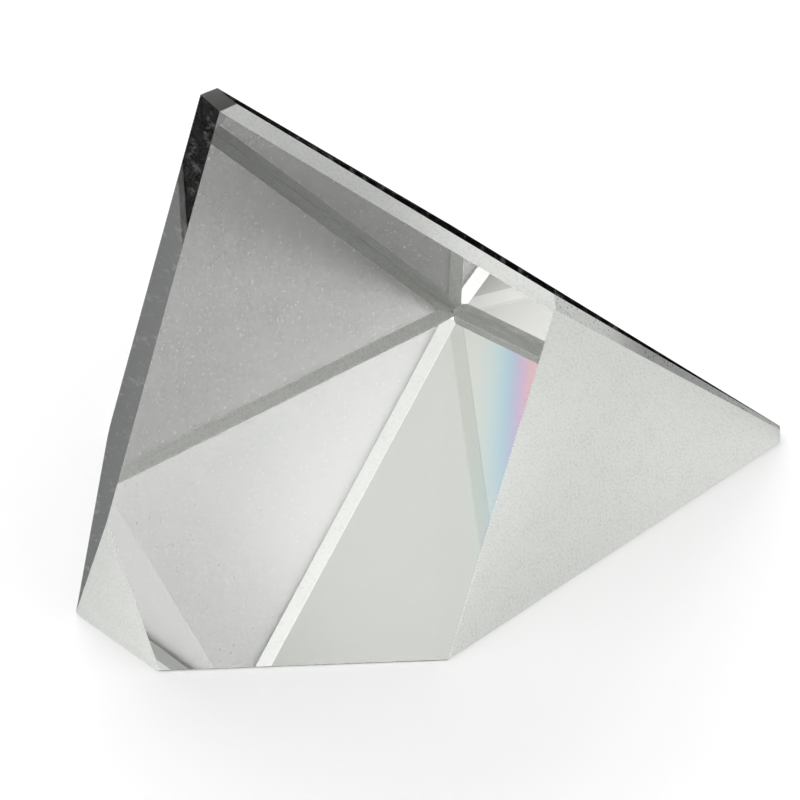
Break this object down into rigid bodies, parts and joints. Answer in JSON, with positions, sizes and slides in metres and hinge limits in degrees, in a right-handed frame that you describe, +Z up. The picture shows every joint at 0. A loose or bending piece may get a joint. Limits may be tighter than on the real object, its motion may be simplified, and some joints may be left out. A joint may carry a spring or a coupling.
{
  "type": "roof prism",
  "caption": "Small glass roof prism: a 48 degree wedge whose third side is a right-angled roof, with two clear faces and ground sides, for turning an image over.",
  "frame": {"origin": "on the resting clear face, under the middle of the prism's length and width", "axes": "+Z up from the resting clear face; +Y towards the acute edge, so the roof's ridge is at the -Y end; +X to the right seen from the ridge's side"},
  "size_m": [0.02, 0.0272, 0.0219],
  "materials": {
    "optical_glass": "polished clear and roof faces; finely ground sides, end cut, acute flat and bevels"
  },
  "bodies": {
    "root": {"roof_prism": "optical_glass"}
  },
  "joints": []
}
